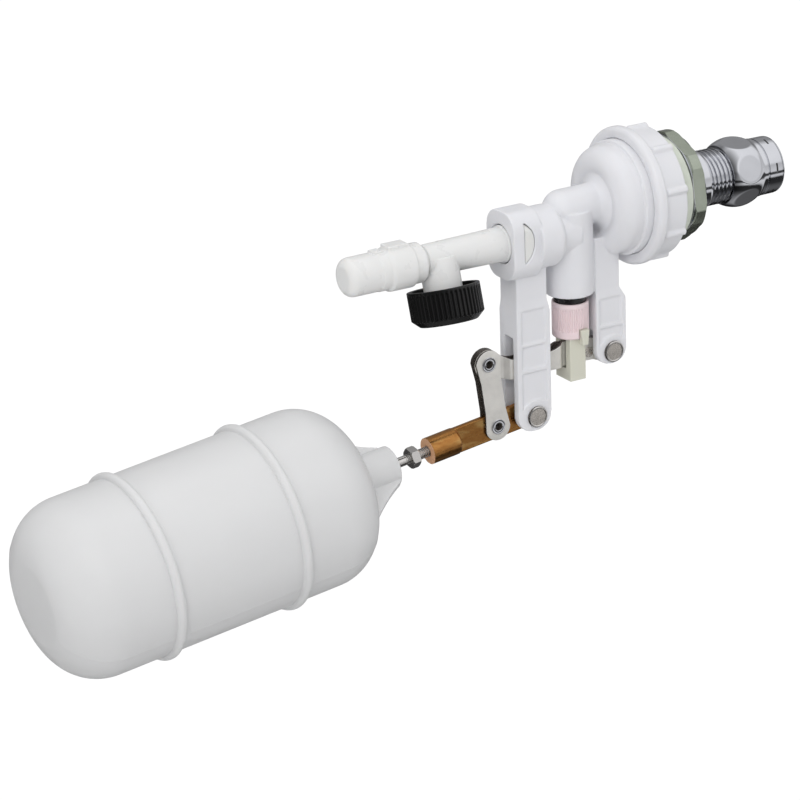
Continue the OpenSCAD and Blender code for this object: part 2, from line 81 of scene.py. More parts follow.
class Paint:
    """A material under construction: a Principled shader and short calls for what feeds it."""

    def __init__(self, name, stretch=(1, 1, 1), turn=(0, 0, 0)):
        self.mat = bpy.data.materials.new(name)
        self.mat.use_nodes = True
        self.tree = self.mat.node_tree
        self.shader = self.tree.nodes["Principled BSDF"]
        place = self.tree.nodes.new("ShaderNodeTexCoord")
        self.where = self.tree.nodes.new("ShaderNodeMapping")
        self.where.inputs["Rotation"].default_value = turn
        self.where.inputs["Scale"].default_value = stretch
        self.link(place.outputs["Object"], self.where.inputs["Vector"])

    def link(self, a, b):
        self.tree.links.new(a, b)

    def fixed(self, **values):
        """Sets plain values on the shader's own sockets."""
        for key, value in values.items():
            self.shader.inputs[key.replace("_", " ")].default_value = value

    def noise(self, size, detail=3.0, rough=0.5, warp=0.0):
        """Noise whose features are about size metres across."""
        node = self.tree.nodes.new("ShaderNodeTexNoise")
        node.inputs["Scale"].default_value = 1 / size
        node.inputs["Detail"].default_value = detail
        node.inputs["Roughness"].default_value = rough
        node.inputs["Distortion"].default_value = warp
        self.link(self.where.outputs["Vector"], node.inputs["Vector"])
        return node.outputs["Fac"]

    def cells(self, size):
        node = self.tree.nodes.new("ShaderNodeTexVoronoi")
        node.inputs["Scale"].default_value = 1 / size
        self.link(self.where.outputs["Vector"], node.inputs["Vector"])
        return node.outputs["Distance"]

    def span(self, value, low, high, to_low, to_high):
        return map_range(self.tree, value, low, high, to_low, to_high)

    def blend(self, factor, a, b):
        """Mixes colours a and b; each is a colour or a socket."""
        node = self.tree.nodes.new("ShaderNodeMix")
        node.data_type = "RGBA"
        self.link(factor, node.inputs["Factor"])
        for value, socket in ((a, node.inputs[6]), (b, node.inputs[7])):
            if isinstance(value, (tuple, list)):
                socket.default_value = (*value, 1)
            else:
                self.link(value, socket)
        return node.outputs[2]

    def colour(self, socket):
        self.link(socket, self.shader.inputs["Base Color"])

    def roughness(self, socket):
        self.link(socket, self.shader.inputs["Roughness"])

    def bump(self, height, depth, strength=1.0):
        """Adds a bump of depth metres on top of any earlier one."""
        node = self.tree.nodes.new("ShaderNodeBump")
        node.inputs["Distance"].default_value = depth
        node.inputs["Strength"].default_value = strength
        self.link(height, node.inputs["Height"])
        normal = self.shader.inputs["Normal"]
        if normal.is_linked:
            self.link(normal.links[0].from_socket, node.inputs["Normal"])
        self.link(node.outputs["Normal"], normal)


def shade(colour, factor):
    return tuple(c * factor for c in colour)


def plastic(name, colour, rough, glow=0.0, deep=2.0):
    """Moulded plastic: faint tone drift, uneven gloss, orange peel and fine dust specks.

    glow is how much light goes into it, and deep how far, in millimetres.
    """
    tone, peel = 0.03, 0.012 * MM
    p = Paint(name)
    drift = p.noise(14 * MM, detail=4)
    dust = p.span(p.noise(0.7 * MM, detail=2), 0.66, 0.78, 0.0, 1.0)
    base = p.blend(drift, shade(colour, 1 - tone), shade(colour, 1 + tone))
    p.colour(p.blend(p.span(dust, 0, 1, 0, 0.06), base, shade(colour, 0.8)))
    p.roughness(p.span(p.noise(5 * MM, detail=5), 0.3, 0.7, rough - 0.05, rough + 0.07))
    p.bump(p.noise(1.6 * MM, detail=3), peel)
    p.bump(p.noise(9 * MM, detail=2), 3 * peel, 0.6)
    if glow:
        p.fixed(Subsurface_Weight=glow, Subsurface_Scale=deep * MM)
        p.fixed(Subsurface_Radius=(1.0, 0.9, 0.8))
    return p.mat


def rubber(name, colour, rough):
    """Moulded rubber, or ink: mottled, with a fine even grain. Also the painted shade inside
    the eyelets' bores.
    """
    p = Paint(name)
    base = p.blend(p.noise(3 * MM, detail=6), shade(colour, 0.88), shade(colour, 1.1))
    p.colour(base)
    p.roughness(p.span(p.noise(1.5 * MM), 0.3, 0.7, rough - 0.08, rough + 0.1))
    p.bump(p.noise(0.35 * MM, detail=4), 0.02 * MM)
    return p.mat


def chrome_plate(name):
    """Bright chrome: sharp reflections, slightly uneven in tone and gloss."""
    p = Paint(name)
    p.colour(p.blend(p.noise(6 * MM), (0.68, 0.69, 0.72), (0.78, 0.79, 0.82)))
    p.roughness(p.span(p.noise(3 * MM, detail=6), 0.35, 0.75, 0.05, 0.13))
    p.bump(p.noise(5 * MM, detail=2), 0.01 * MM, 0.5)
    p.fixed(Metallic=1.0)
    return p.mat


def flank_reflection_plate(name):
    """Chrome on the lock nut's flats, darkened and tinted green-grey: a painted reflection of
    the green gasket and the dark surroundings.
    """
    p = Paint(name)
    p.colour(p.blend(p.noise(5 * MM, detail=4), (0.35, 0.385, 0.31), (0.46, 0.50, 0.42)))
    p.roughness(p.span(p.noise(2 * MM, detail=5), 0.35, 0.75, 0.10, 0.18))
    p.bump(p.noise(7 * MM, detail=2), 0.05 * MM, 0.6)
    p.fixed(Metallic=0.85)
    return p.mat


def stamped_steel(name):
    """Tumbled stainless sheet: fine pitting, soft stains and a slight grain."""
    colour, rough = (0.90, 0.88, 0.835), 0.38
    p = Paint(name)
    stain = p.span(p.noise(4 * MM, detail=6), 0.35, 0.7, 0.0, 1.0)
    base = p.blend(stain, shade(colour, 1.04), shade(colour, 0.94))
    pits = p.span(p.cells(0.45 * MM), 0.0, 0.28, 1.0, 0.0)
    p.colour(p.blend(p.span(pits, 0, 1, 0, 0.22), base, shade(colour, 0.6)))
    p.roughness(p.span(p.noise(1.2 * MM, detail=5), 0.3, 0.7, rough - 0.06, rough + 0.1))
    p.bump(p.noise(0.4 * MM, detail=5), 0.015 * MM)
    p.fixed(Metallic=0.6)
    return p.mat


def bright_steel(name):
    """Bright turned steel: fairly sharp reflections under a light, uneven haze."""
    p = Paint(name)
    p.colour(p.blend(p.noise(2 * MM, detail=5), (0.68, 0.66, 0.63), (0.82, 0.80, 0.77)))
    p.roughness(p.span(p.noise(0.8 * MM, detail=5), 0.3, 0.7, 0.10, 0.2))
    p.bump(p.noise(0.3 * MM, detail=3), 0.003 * MM)
    p.fixed(Metallic=1.0)
    return p.mat


def painted_shade_steel(name):
    """Painted shade on steel: brown-black, for the plates' edges, the back plates' inner faces
    and the sides of the pin heads.
    """
    p = Paint(name)
    p.colour(p.blend(p.noise(1.5 * MM, detail=5), (0.10, 0.085, 0.075), (0.22, 0.20, 0.18)))
    p.roughness(p.span(p.noise(0.8 * MM, detail=5), 0.3, 0.7, 0.2, 0.34))
    p.bump(p.noise(0.3 * MM, detail=4), 0.01 * MM)
    p.fixed(Metallic=0.85)
    return p.mat


def turned_steel(name):
    """Turned steel: dull, finely pitted, with darker stains."""
    colour, rough = (0.66, 0.62, 0.57), 0.26
    p = Paint(name)
    stain = p.span(p.noise(1.3 * MM, detail=5), 0.35, 0.65, 0.0, 1.0)
    base = p.blend(stain, shade(colour, 0.95), shade(colour, 1.12))
    pits = p.span(p.cells(0.3 * MM), 0.0, 0.3, 1.0, 0.0)
    p.colour(p.blend(p.span(pits, 0, 1, 0, 0.12), base, shade(colour, 0.6)))
    p.roughness(p.span(p.noise(0.5 * MM, detail=4), 0.3, 0.7, rough - 0.04, rough + 0.06))
    p.bump(p.noise(0.4 * MM, detail=3), 0.003 * MM)
    p.fixed(Metallic=0.85)
    return p.mat


def raw_brass(name):
    """Milled brass gone brown, with streaks along the bar and bright rubbed patches."""
    p = Paint(name, stretch=(0.3, 1, 1), turn=(0, -ARM_DROP, 0))
    streak = p.span(p.noise(1.1 * MM, detail=6, rough=0.6), 0.3, 0.7, 0.0, 1.0)
    base = p.blend(streak, (0.44, 0.185, 0.05), (0.58, 0.285, 0.085))
    rubbed = p.span(p.noise(3.4 * MM, detail=3, warp=0.4), 0.5, 0.7, 0.0, 0.8)
    p.colour(p.blend(rubbed, base, (0.88, 0.58, 0.22)))
    p.roughness(p.span(p.noise(0.8 * MM, detail=5), 0.3, 0.7, 0.24, 0.38))
    p.bump(p.noise(0.5 * MM, detail=5), 0.008 * MM)
    p.fixed(Metallic=1.0)
    return p.mat


def cut_brass(name):
    """Freshly sawn brass end, pinkish and dull."""
    p = Paint(name)
    p.colour(p.blend(p.noise(1.2 * MM, detail=5), (0.70, 0.38, 0.21), (0.82, 0.49, 0.29)))
    p.roughness(p.span(p.noise(0.4 * MM, detail=4), 0.3, 0.7, 0.4, 0.55))
    p.bump(p.noise(0.3 * MM, detail=4), 0.02 * MM)
    p.fixed(Metallic=0.15)
    return p.mat


def float_plastic(name):
    """Blow-moulded wall: milky, satin, with faint long ripples and flow streaks."""
    p = Paint(name, stretch=(0.35, 1, 1), turn=(0, -ARM_DROP, 0))
    flow = p.noise(16 * MM, detail=5, warp=0.3)
    p.colour(p.blend(flow, (0.645, 0.647, 0.652), (0.675, 0.677, 0.682)))
    p.roughness(p.span(p.noise(10 * MM, detail=5), 0.3, 0.7, 0.34, 0.44))
    p.bump(p.noise(24 * MM, detail=2), 0.22 * MM, 0.5)
    p.bump(p.noise(1.1 * MM, detail=3), 0.008 * MM)
    p.fixed(Subsurface_Weight=0.25, Subsurface_Scale=4 * MM)
    p.fixed(Subsurface_Radius=(1.0, 0.95, 0.9))
    return p.mat


WHITE = (0.725, 0.727, 0.755)
MATERIALS = {
    "white_moulding": plastic("white_plastic", WHITE, rough=0.34, glow=0.2),
    "float_moulding": float_plastic("float_plastic"),
    "natural_moulding": plastic(
        "natural_plastic", (0.745, 0.745, 0.74), rough=0.3, glow=0.35, deep=4
    ),
    "black_moulding": plastic("black_plastic", (0.004, 0.004, 0.004), rough=0.3),
    "pink_moulding": plastic("pink_plastic", (0.79, 0.655, 0.675), rough=0.38, glow=0.2),
    "ivory_moulding": plastic("ivory_plastic", (0.64, 0.635, 0.545), rough=0.4, glow=0.15),
    "black_rubber": rubber("black_rubber", (0.012, 0.011, 0.012), rough=0.2),
    "pale_rubber": rubber("pale_rubber", (0.62, 0.66, 0.575), rough=0.42),
    "chrome": chrome_plate("chrome_plate"),
    "stainless": stamped_steel("stamped_steel"),
    "brass": raw_brass("raw_brass"),
}
# finishes that differ from the one of the piece's material slot; three of them are painted
# shade or a painted reflection
TURNED = turned_steel("turned_steel")
EYELET_PLATE = chrome_plate("bright_steel")
# painted shade for the plates' edges, the back plates' inner faces and the pin heads' sides
PAINTED_SHADE_STEEL = painted_shade_steel("painted_shade_steel")
CLIP = plastic("clip_plastic", (0.735, 0.735, 0.72), rough=0.34, glow=0.2)
ROD_STEEL = bright_steel("rod_steel")
INK = rubber("ink", (0.02, 0.02, 0.02), rough=0.4)
# painted shade inside the eyelets' bores
PAINTED_BORE_SHADE = rubber("painted_bore_shade", (0.05, 0.042, 0.036), rough=0.25)
# a painted reflection of the gasket, for the lock nut's flats
LOCK_FLANK_REFLECTION = flank_reflection_plate("lock_nut_flank_painted_reflection")
CUT_BRASS = cut_brass("cut_brass")


# ---------------------------------------------------------------- mesh helpers


class Axis:
    """A turning axis: points are given as distance along it, radius and angle."""

    def __init__(self, origin, along, zero):
        self.origin = Vector(origin)
        self.along = Vector(along).normalized()
        self.zero = Vector(zero).normalized()
        self.quarter = self.along.cross(self.zero)

    def point(self, x, r, angle):
        ray = self.zero * math.cos(angle) + self.quarter * math.sin(angle)
        return self.origin + self.along * x + ray * r


def rounded(corners, steps=5):
    """Corners given as (along, radius, fillet) turned into a polyline with arcs."""
    out = []
    for i, (x, y, fillet) in enumerate(corners):
        here = Vector((x, y))
        u = Vector(corners[i - 1][:2]) - here
        v = Vector(corners[(i + 1) % len(corners)][:2]) - here
        if fillet <= 0 or u.length < 1e-6 or v.length < 1e-6:
            out.append((x, y))
            continue
        reach = 0.49 * min(u.length, v.length)
        u.normalize()
        v.normalize()
        half = math.acos(max(-1, min(1, u.dot(v)))) / 2
        if half > math.radians(89):
            out.append((x, y))
            continue
        cut = min(fillet / math.tan(half), reach)
        radius = cut * math.tan(half)
        centre = here + (u + v).normalized() * (radius / math.sin(half))
        start, end = here + u * cut - centre, here + v * cut - centre
        first = math.atan2(start.y, start.x)
        swing = math.atan2(end.y, end.x) - first
        swing = (swing + math.pi) % (2 * math.pi) - math.pi
        for k in range(steps + 1):
            angle = first + swing * k / steps
            out.append(
                (centre.x + radius * math.cos(angle), centre.y + radius * math.sin(angle))
            )
    return out


def finer(loop, step):
    """Splits the long sides of a closed polyline."""
    out = []
    for i, (x, y) in enumerate(loop):
        nx, ny = loop[(i + 1) % len(loop)]
        parts = max(1, math.ceil(math.hypot(nx - x, ny - y) / step))
        for k in range(parts):
            out.append((x + (nx - x) * k / parts, y + (ny - y) * k / parts))
    return out


def turned(loop, axis, count, shape=None):
    """A closed section swept round an axis in count steps.

    shape(x, r, angle) may change the radius.
    """
    bm = bmesh.new()
    rings = []
    for j in range(count):
        angle = 2 * math.pi * j / count
        ring = []
        for x, r in loop:
            radius = shape(x, r, angle) if shape and r > 0 else r
            ring.append(bm.verts.new(axis.point(x, max(radius, 0), angle)))
        rings.append(ring)
    size = len(loop)
    for j in range(count):
        here, there = rings[j], rings[(j + 1) % count]
        for i in range(size):
            k = (i + 1) % size
            if loop[i][1] <= 0 and loop[k][1] <= 0:
                continue
            bm.faces.new((here[i], here[k], there[k], there[i]))
    bmesh.ops.remove_doubles(bm, verts=bm.verts, dist=0.0005)
    bmesh.ops.dissolve_degenerate(bm, dist=0.0002, edges=bm.edges)
    bmesh.ops.recalc_face_normals(bm, faces=bm.faces)
    return bm


def nearest(angle, phase, count):
    """Angle to the nearest of count evenly spaced directions, the first at phase."""
    step = 2 * math.pi / count
    return (angle - phase + step / 2) % step - step / 2


def soft_min(a, b, k):
    """The smaller of a and b, with their corner rounded over k."""
    h = max(k - abs(a - b), 0) / k
    return min(a, b) - h * h * k / 4


def soft_max(a, b, k):
    return -soft_min(-a, -b, k)


def smooth(value, low, high):
    """0 below low, 1 above high, smooth between them."""
    t = max(0, min(1, (value - low) / (high - low)))
    return t * t * (3 - 2 * t)


def flats(across, phase, edge):
    """Shape that cuts the six flats of a nut, with their edges rounded over edge."""

    def shape(x, r, angle):
        off = nearest(angle, phase, 6)
        return soft_min(r, across / 2 / math.cos(off), edge)

    return shape


def cad_bmesh(node):
    """A welded copy of a CAD node's mesh, in millimetres."""
    bm = bmesh.new()
    bm.from_mesh(frame["nodes"][node].data)
    bmesh.ops.scale(bm, vec=(1 / MM, 1 / MM, 1 / MM), verts=bm.verts)
    bmesh.ops.remove_doubles(bm, verts=bm.verts, dist=0.002)
    return bm


def placed(name, data):
    """A new object in the scene."""
    obj = bpy.data.objects.new(name, data)
    bpy.context.scene.collection.objects.link(obj)
    return obj


def evaluated(obj):
    """The mesh of obj, with its modifiers or curve settings applied. Removes obj."""
    graph = bpy.context.evaluated_depsgraph_get()
    mesh = bpy.data.meshes.new_from_object(obj.evaluated_get(graph))
    bpy.data.objects.remove(obj)
    return mesh


def melted(bm, voxel, passes, keep=1.0):
    """Remeshes a form in small cells and relaxes it, which rounds edges and corners.

    voxel is the cells' size in millimetres; keep thins the mesh to that share of its faces.
    """
    mesh = bpy.data.meshes.new("melting")
    bm.to_mesh(mesh)
    bm.free()
    obj = placed("melting", mesh)
    cells = obj.modifiers.new("cells", "REMESH")
    cells.mode = "VOXEL"
    cells.voxel_size = voxel
    relax = obj.modifiers.new("relax", "SMOOTH")
    relax.factor = 0.5
    relax.iterations = passes
    if keep < 1:
        thin = obj.modifiers.new("thin", "DECIMATE")
        thin.ratio = keep
    out = bmesh.new()
    done = evaluated(obj)
    out.from_mesh(done)
    bpy.data.meshes.remove(done)
    return out


def publish(bm, name, node, material, sharp=None):
    """Turns a form into a visible piece that rides with node's body and replaces node.

    Without a material it takes its slot's. Edges above sharp degrees stay sharp.
    """
    bmesh.ops.scale(bm, vec=(MM, MM, MM), verts=bm.verts)
    mesh = bpy.data.meshes.new(name)
    bm.to_mesh(mesh)
    bm.free()
    mesh.shade_smooth()
    if sharp:
        mesh.set_sharp_from_angle(angle=math.radians(sharp))
    obj = placed(name, mesh)
    mesh.materials.append(material or MATERIALS[SLOT_OF[node]])
    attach(obj, BODY_OF[node])
    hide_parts(node)
    return obj


def repaint(piece, material, chosen):
    """Adds a material, for the faces where chosen(centre in millimetres, normal) is true."""
    mesh = piece.data
    mesh.materials.append(material)
    for face in mesh.polygons:
        if chosen(face.center / MM, face.normal):
            face.material_index = len(mesh.materials) - 1


FRONT = (0, -1, 0)
INLET = Axis((0, 0, 0), (1, 0, 0), FRONT)
BRANCH = Axis(
    (BRANCH_X, 0, SPOUT_Z),
    (0, -math.sin(BRANCH_SWING), -math.cos(BRANCH_SWING)),
    (1, 0, 0),
)
CHAMBER = Axis((CHAMBER_X, 0, 0), (0, 0, 1), FRONT)
ARM = Axis(ARM_PIVOT, ARM_AXIS, FRONT)


# ---------------------------------------------------------------- moulded body

publish(melted(cad_bmesh("valve_body"), 0.3, 7), "body_moulding", "valve_body", None)

# ---------------------------------------------------------------- inlet side

UNION_RIBS = 9
UNION_RIB_AT = math.radians(-15.4)
UNION_RIB_HEIGHT = 1.2
UNION_BORE = 22.92
UNION_WALL = 24.1
UNION_STEP_X = -15.2


def union_ribs(x, r, angle):
    """Low ribs on the outside, from the step to the gasket end."""
    if r < UNION_WALL - 0.7 or x < UNION_STEP_X:
        return r
    off = abs(nearest(angle, UNION_RIB_AT, UNION_RIBS)) * r
    height = (1 - smooth(off, 0.5, 1.7)) * smooth(x, UNION_STEP_X, UNION_STEP_X + 1)
    return r + UNION_RIB_HEIGHT * height


union_loop = finer(
    rounded(
        [
            (-19.2, 21.5, 0.5),
            (-19.2, 25.6, 1.7),
            (-15.6, 25.7, 1.0),
            (-15.0, UNION_WALL, 0.5),
            (-6.0, UNION_WALL, 0.7),
            (-6.0, UNION_BORE, 0.1),
            (-17.2, UNION_BORE, 0.2),
            (-17.2, 21.5, 0.3),
        ]
    ),
    0.8,
)
publish(turned(union_loop, INLET, 360, union_ribs), "union_nut_moulding", "union_nut", None)

gasket_loop = rounded(
    [(-5.98, 10.5, 0.2), (-5.98, 19.5, 0.3), (-0.02, 19.5, 0.9), (-0.02, 10.5, 0.2)]
)
publish(turned(gasket_loop, INLET, 160), "gasket_ring", "mounting_gasket", None)

THREAD_PITCH = 1.814
THREAD_R = 10.4775
THREAD_DEPTH = 1.12
THREAD_START = 14.0
THREAD_LENGTH = 18.6
THREAD_ROWS = 200
CREST_AT = 15.42


def shank_thread(x, r, angle):
    """A single-start thread with rounded crests, dying out at both ends."""
    if x < THREAD_START or r < THREAD_R - THREAD_DEPTH - 0.3:
        return r
    phase = ((x - CREST_AT) / THREAD_PITCH - angle / (2 * math.pi)) % 1
    wave = 0.5 + 0.5 * math.cos(2 * math.pi * phase)
    wave = smooth(wave, 0.08, 0.92)
    fade = smooth(x, THREAD_START, THREAD_START + 0.9) * (1 - 0.7 * smooth(x, 32.0, 33.0))
    return r - THREAD_DEPTH * (1 - wave) * fade


shank_loop = finer(
    rounded(
        [
            (-14.25, 11.0, 0.1),
            (-12.7, 11.0, 0.1),
            (-12.7, 15.9, 0.1),
            (-14.25, 15.9, 0.1),
            (-14.25, 22.8, 0.2),
            (-6.02, 22.8, 0.2),
            (-6.02, THREAD_R, 0.1),
            (THREAD_START, THREAD_R, 0),
        ],
        2,
    ),
    2.0,
)
shank_loop = shank_loop[: shank_loop.index((THREAD_START, THREAD_R)) + 1]
shank_loop += [
    (THREAD_START + THREAD_LENGTH * k / THREAD_ROWS, THREAD_R)
    for k in range(1, THREAD_ROWS + 1)
]
shank_loop += rounded(
    [
        (32.98, 9.9, 0.1),
        (32.98, 5.5, 0.2),
        (-9.3, 5.5, 0),
        (-9.3, 9.1, 0),
        (-14.25, 9.1, 0),
    ],
    2,
)
publish(turned(shank_loop, INLET, 160, shank_thread), "shank_plated", "inlet_shank", None, 40)

LOCK_ACROSS = 38
LOCK_CORNERS = math.radians(-39)
lock_loop = finer(
    rounded(
        [
            (0.06, 10.55, 0.2),
            (0.06, 19.5, 0.1),
            (0.75, 20.55, 0.2),
            (4.8, 20.55, 0.2),
            (5.42, 19.75, 0.15),
            (5.5, 18.7, 0.1),
            (6.35, 18.0, 0.3),
            (6.35, 11.7, 0.5),
            (13.0, 11.7, 0.5),
            (14.45, 10.95, 0.3),
            (14.45, 10.55, 0.1),
        ]
    ),
    0.5,
)
lock_flats = flats(LOCK_ACROSS, LOCK_CORNERS + math.radians(30), 0.12)
LOCK_FLANK_R = LOCK_ACROSS / 2 - 0.25


def lock_shape(x, r, angle):
    """Flats on the hexagon, not on the neck."""
    return lock_flats(x, r, angle) if r > LOCK_FLANK_R and x < 5.45 else r


def on_lock_flank(spot, normal):
    return 0.3 < spot.x < 5.4 and math.hypot(spot.y, spot.z) > LOCK_FLANK_R


lock = publish(
    turned(lock_loop, INLET, 720, lock_shape), "lock_nut_plated", "lock_nut", None, 35
)
# the flats get the painted green-grey reflection
repaint(lock, LOCK_FLANK_REFLECTION, on_lock_flank)

# the barrel bulges as an arc of BARREL_R about a centre just off the axis
BARREL_X, BARREL_LIFT = 30.6, 0.8
BARREL_R = 12.3
BARREL_HALF = 33.5
BARREL_STEPS = 40
COLLAR_X = 38
COLLAR_R = 10.95
COUPLING_ACROSS = 23.8
coupling_flats = flats(COUPLING_ACROSS, math.radians(-20), 0.25)
barrel = []
for k in range(BARREL_STEPS + 1):
    t = math.radians(-BARREL_HALF + 2 * BARREL_HALF * k / BARREL_STEPS)
    barrel.append((BARREL_X + BARREL_R * math.sin(t), BARREL_LIFT + BARREL_R * math.cos(t)))


def coupling_shape(x, r, angle):
    """Round-edged flats on the barrel, not on the collar."""
    return coupling_flats(x, r, angle) if r > COLLAR_R and x < COLLAR_X else r


coupling_loop = [(23.9, 10.62), (23.8, 10.8)] + barrel
coupling_loop += rounded(
    [
        (37.9, COLLAR_R, 0.2),
        (38.5, COLLAR_R, 0.3),
        (39.2, COLLAR_R, 0.2),
        (39.45, 10.3, 0.15),
        (39.9, 10.3, 0.15),
        (40.1, 10.8, 0.25),
        (45.6, 10.75, 0.2),
        (45.9, 10.45, 0.15),
        (46.2, 10.7, 0.25),
        (46.75, 10.4, 0.35),
        (46.75, 9.2, 0.4),
        (46.2, 8.85, 0.2),
        (38.6, 8.85, 0.2),
        (38.6, 7.05, 0.2),
        (35.6, 7.05, 0.1),
        (35.6, 9.5, 0.1),
        (33.1, 9.5, 0.1),
        (33.1, 10.62, 0.1),
    ]
)
coupling = publish(
    turned(finer(coupling_loop, 0.4), INLET, 540, coupling_shape),
    "coupling_nut_plated",
    "coupling_nut",
    None,
    38,
)
TICKS = 6
TICK_AT = math.radians(11.5)
TICK_HALF = math.radians(8)
TICK_X = 43.2


def on_tick(spot, normal):
    """Plain strokes, spaced evenly round the collar."""
    off = nearest(math.atan2(spot.z, -spot.y), TICK_AT, TICKS)
    outside = math.hypot(spot.y, spot.z) > 10.6
    return outside and abs(spot.x - TICK_X) < 0.35 and abs(off) < TICK_HALF


repaint(coupling, INK, on_tick)

# ---------------------------------------------------------------- spout

publish(melted(cad_bmesh("spout_tube"), 0.2, 6, 0.5), "spout_moulding", "spout_tube", None)
publish(melted(cad_bmesh("spout_plug"), 0.2, 7, 0.5), "plug_moulding", "spout_plug", None)
publish(melted(cad_bmesh("spout_clip"), 0.12, 4, 0.6), "clip_moulding", "spout_clip", CLIP)

NUT_R = 13.3
NUT_FLUTES = 48
NUT_FLUTE_DEPTH = 0.75


def outlet_flutes(x, r, angle):
    """Ridges on the wall of the outlet nut, below its plain rim."""
    if r < NUT_R - 0.7 or x < 11.4 or x > 21.1:
        return r
    ridge = 0.5 + 0.5 * math.cos(NUT_FLUTES * angle)
    depth = NUT_FLUTE_DEPTH * smooth(x, 11.5, 12.0)
    return r - depth * (1 - smooth(ridge, 0.15, 0.85))


outlet_loop = finer(
    rounded(
        [
            (10.52, 11.75, 0.3),
            (10.52, NUT_R, 0.3),
            (20.95, NUT_R, 0.5),
            (23.55, 10.5, 0.8),
            (23.55, 6.25, 0.3),
            (22.2, 6.25, 0.1),
            (22.2, 8.78, 0.1),
            (16.0, 8.78, 0.1),
            (16.0, 7.5, 0.2),
            (14.4, 7.5, 0.3),
            (14.4, 11.75, 0.6),
        ]
    ),
    0.45,
)
publish(
    turned(outlet_loop, BRANCH, 12 * NUT_FLUTES, outlet_flutes),
    "outlet_nut_moulding",
    "outlet_nut",
    None,
)

# ---------------------------------------------------------------- stem

publish(melted(cad_bmesh("valve_stem"), 0.12, 4, 0.4), "stem_moulding", "valve_stem", None)

CAP_R = 6.82
CAP_FLUTES = 48
CAP_FLUTE_DEPTH = 0.4
NOTCH_AT = math.radians(14)
NOTCH_HALF = 2.0
NOTCH_FLOOR_R = 5.85


def cap_shape(x, r, angle):
    """Fine flutes between two plain rims, and the notch for the stem's tongue."""
    if r < CAP_R - 0.62:
        return r
    band = smooth(x, -45.9, -45.4) * (1 - smooth(x, -37.3, -36.8))
    ridge = smooth(0.5 + 0.5 * math.cos(CAP_FLUTES * angle), 0.2, 0.8)
    out = r - CAP_FLUTE_DEPTH * band * (1 - ridge)
    off = abs(nearest(angle, NOTCH_AT, 1)) * 6.5
    notch = 1 - smooth(off, NOTCH_HALF, NOTCH_HALF + 0.3)
    notch *= 1 - smooth(x, -45.2, -44.9)
    return out - (out - NOTCH_FLOOR_R) * notch


cap_loop = finer(
    rounded(
        [
            (-35.2, 5.98, 0.2),
            (-35.2, 6.8, 0.35),
            (-36.8, CAP_R, 0.1),
            (-45.8, CAP_R, 0.1),
            (-48.2, 6.8, 0.3),
            (-48.85, 6.0, 0.3),
            (-48.85, 3.25, 0.1),
            (-38.0, 3.25, 0.1),
            (-38.0, 5.98, 0.1),
        ]
    ),
    0.3,
)
publish(turned(cap_loop, CHAMBER, 16 * CAP_FLUTES, cap_shape), "cap_moulding", "stem_cap", None)

packing_loop = rounded(
    [
        (-37.95, 3.25, 0.1),
        (-37.95, 5.83, 0.2),
        (-29.5, 5.83, 0.5),
        (-27.2, 6.33, 0.3),
        (-26.5, 6.33, 0.2),
        (-26.5, 5.4, 0.2),
        (-28.2, 3.4, 0.2),
    ]
)
publish(turned(packing_loop, CHAMBER, 120), "packing_rubber", "stem_packing", None)

# ---------------------------------------------------------------- steel linkage

PLATE = 1.0
HOLE_STEPS = 48


def circle(centre, r, start=0, stop=360, steps=HOLE_STEPS):
    """Points on a circle in the XZ plane, from start to stop degrees."""
    out = []
    for k in range(steps + 1):
        angle = math.radians(start + (stop - start) * k / steps)
        out.append((centre.x + r * math.cos(angle), centre.z + r * math.sin(angle)))
    return out


def plate(outline, holes, edge):
    """A flat plate in the XZ plane, in front of y 0, with rounded edges and holes."""
    curve = bpy.data.curves.new("plate", "CURVE")
    curve.dimensions = "2D"
    curve.fill_mode = "BOTH"
    curve.extrude = PLATE / 2 - edge
    curve.bevel_depth = edge
    curve.bevel_resolution = 2
    curve.offset = -edge
    for loop in [outline] + [circle(centre, r)[:-1] for centre, r in holes]:
        spline = curve.splines.new("POLY")
        spline.points.add(len(loop) - 1)
        for point, (x, z) in zip(spline.points, loop):
            point.co = (x, z, 0, 1)
        spline.use_cyclic_u = True
    bm = bmesh.new()
    done = evaluated(placed("plate", curve))
    bm.from_mesh(done)
    bpy.data.meshes.remove(done)
    for v in bm.verts:
        v.co = Vector((v.co.x, -PLATE / 2 - v.co.z, v.co.y))
    bmesh.ops.remove_doubles(bm, verts=bm.verts, dist=0.001)
    bmesh.ops.recalc_face_normals(bm, faces=bm.faces)
    return bm


def slices(bm, places):
    """Cuts a form across X at several places, so that it can bend there."""
    along = Vector((1, 0, 0))
    for place in places:
        bmesh.ops.bisect_plane(
            bm,
            geom=bm.verts[:] + bm.edges[:] + bm.faces[:],
            plane_co=along * place,
            plane_no=along,
            dist=0.0005,
        )


def flip_back(bm):
    """Mirrors a form from the front to the back."""
    for v in bm.verts:
        v.co.y = -v.co.y
    bmesh.ops.reverse_faces(bm, faces=bm.faces)


LEVER_END_R = 4.4
LINK_END_R = 5.3
LEVER_EDGE = (
    [(-72.0, -50.7), (-69.0, -52.1), (-67.0, -52.35), (-52.0, -52.4), (-50.6, -52.1)]
    + [(-49.0, -51.5), (-47.6, -50.8), (-46.2, -50.45), (-39.5, -50.45), (-37.0, -50.7)]
    + [(-34.0, -51.4), (-30.5, -52.15), (-28.5, -52.4)]
    + circle(LEVER_PIVOT, LEVER_END_R, 90, -90, 20)
    + [(-29.0, -60.75), (-33.0, -59.95), (-36.0, -59.85), (-69.5, -59.7), (-72.5, -59.2)]
    + [(-75.0, -58.0)]
    + circle(LINK_HIGH, LINK_END_R, -50, -292, 40)
)
